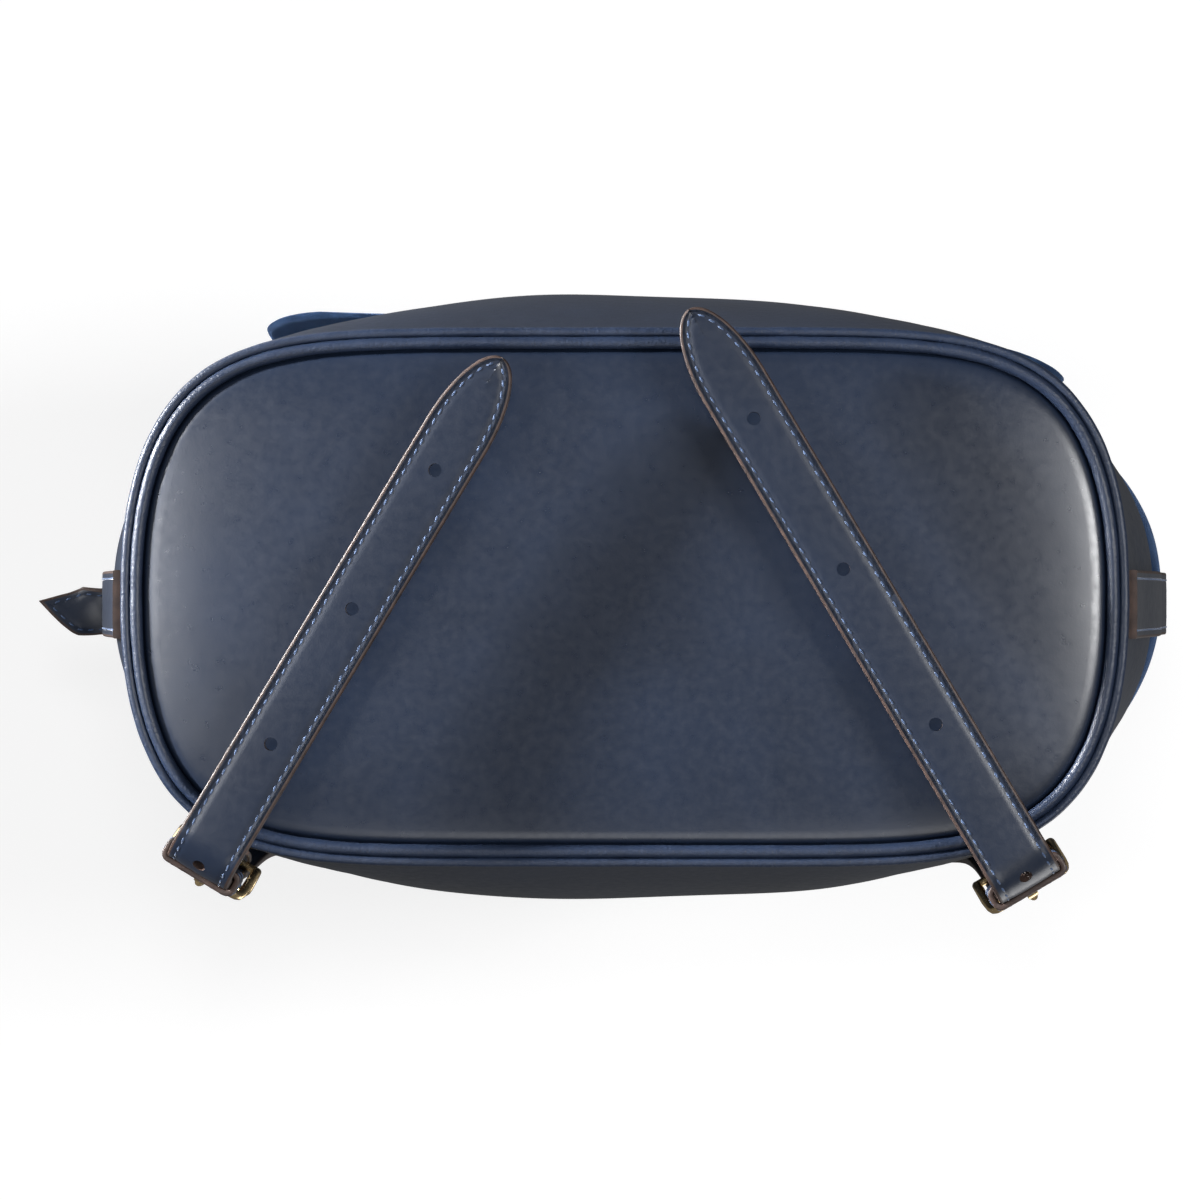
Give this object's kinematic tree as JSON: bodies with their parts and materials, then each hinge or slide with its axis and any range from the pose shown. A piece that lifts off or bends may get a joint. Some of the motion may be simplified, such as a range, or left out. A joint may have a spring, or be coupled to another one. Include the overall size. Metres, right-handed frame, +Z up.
{
  "type": "bucket bag",
  "caption": "Leather backpack-style bucket bag with a suede collar and flap, top handle and two buckled shoulder straps.",
  "frame": {"origin": "middle of the bounding box at the level of the surface the bag stands on", "axes": "+Z up, -Y to the bag's front, +X to the bag's left seen from the front"},
  "size_m": [0.345, 0.1828, 0.3119],
  "materials": {
    "base_leather": "fine-grain, satin",
    "wall_leather": "fine-grain, satin",
    "strap_leather": "smooth, satin, painted edges",
    "suede": "napped suede",
    "lining_cloth": "woven",
    "board": "pressed fibre board",
    "gold_metal": "polished, pale gold",
    "magnet": "nickel plated"
  },
  "bodies": {
    "bag": {"back_panel": "wall_leather", "back_yoke": "wall_leather", "base_board": "board", "base_panel": "base_leather", "base_piping": "base_leather", "buckle_frame_left": "gold_metal", "buckle_frame_right": "gold_metal", "chape_left": "strap_leather", "chape_right": "strap_leather", "cinch_guide": "strap_leather", "flap_anchor": "strap_leather", "front_panel": "wall_leather", "gusset_left": "wall_leather", "gusset_right": "wall_leather", "handle_posts": "gold_metal", "inner_pocket": "lining_cloth", "keeper_left": "strap_leather", "keeper_right": "strap_leather", "lining": "lining_cloth", "magnet_socket": "magnet", "mouth_binding": "wall_leather", "rivets": "gold_metal", "shoulder_strap_left": "strap_leather", "shoulder_strap_right": "strap_leather", "side_band_left": "strap_leather", "side_band_right": "strap_leather", "suede_collar": "suede"},
    "flap": {"suede_flap": "suede", "flap_hinge_strip": "strap_leather", "flap_magnet": "magnet", "flap_badge_plate": "gold_metal"},
    "handle": {"top_handle": "strap_leather"},
    "cinch": {"cinch_strap": "strap_leather"},
    "strap_end_left": {"strap_end_left": "strap_leather"},
    "strap_end_right": {"strap_end_right": "strap_leather"},
    "buckle_prong_left": {"buckle_prong_left": "gold_metal"},
    "buckle_prong_right": {"buckle_prong_right": "gold_metal"}
  },
  "joints": [
    {"name": "flap_hinge", "type": "hinge", "parent": "bag", "child": "flap", "pos_m": [0.00897, 0.06484, 0.308], "axis": [-1, 0, 0], "range_deg": [0, 95]},
    {"name": "handle_pivot", "type": "hinge", "parent": "bag", "child": "handle", "pos_m": [0.00897, 0.08724, 0.262], "axis": [1, 0, 0], "range_deg": [0, 150]},
    {"name": "cinch_pull", "type": "slide", "parent": "bag", "child": "cinch", "axis": [-1, 0, 0], "range_m": [0, 0.014]},
    {"name": "strap_fold_right", "type": "hinge", "parent": "bag", "child": "strap_end_right", "pos_m": [0.11989, 0.07673, 0.0016], "axis": [0.8599, -0.5105, 0], "range_deg": [0, 100]},
    {"name": "buckle_prong_right", "type": "hinge", "parent": "bag", "child": "buckle_prong_right", "pos_m": [0.12216, 0.08056, 0.0384], "axis": [-0.8599, 0.5105, 0], "range_deg": [0, 100]},
    {"name": "strap_fold_left", "type": "hinge", "parent": "bag", "child": "strap_end_left", "pos_m": [-0.10731, 0.07316, 0.0016], "axis": [0.8572, 0.515, 0], "range_deg": [0, 100]},
    {"name": "buckle_prong_left", "type": "hinge", "parent": "bag", "child": "buckle_prong_left", "pos_m": [-0.10961, 0.07698, 0.0384], "axis": [-0.8572, -0.515, 0], "range_deg": [0, 100]}
  ]
}
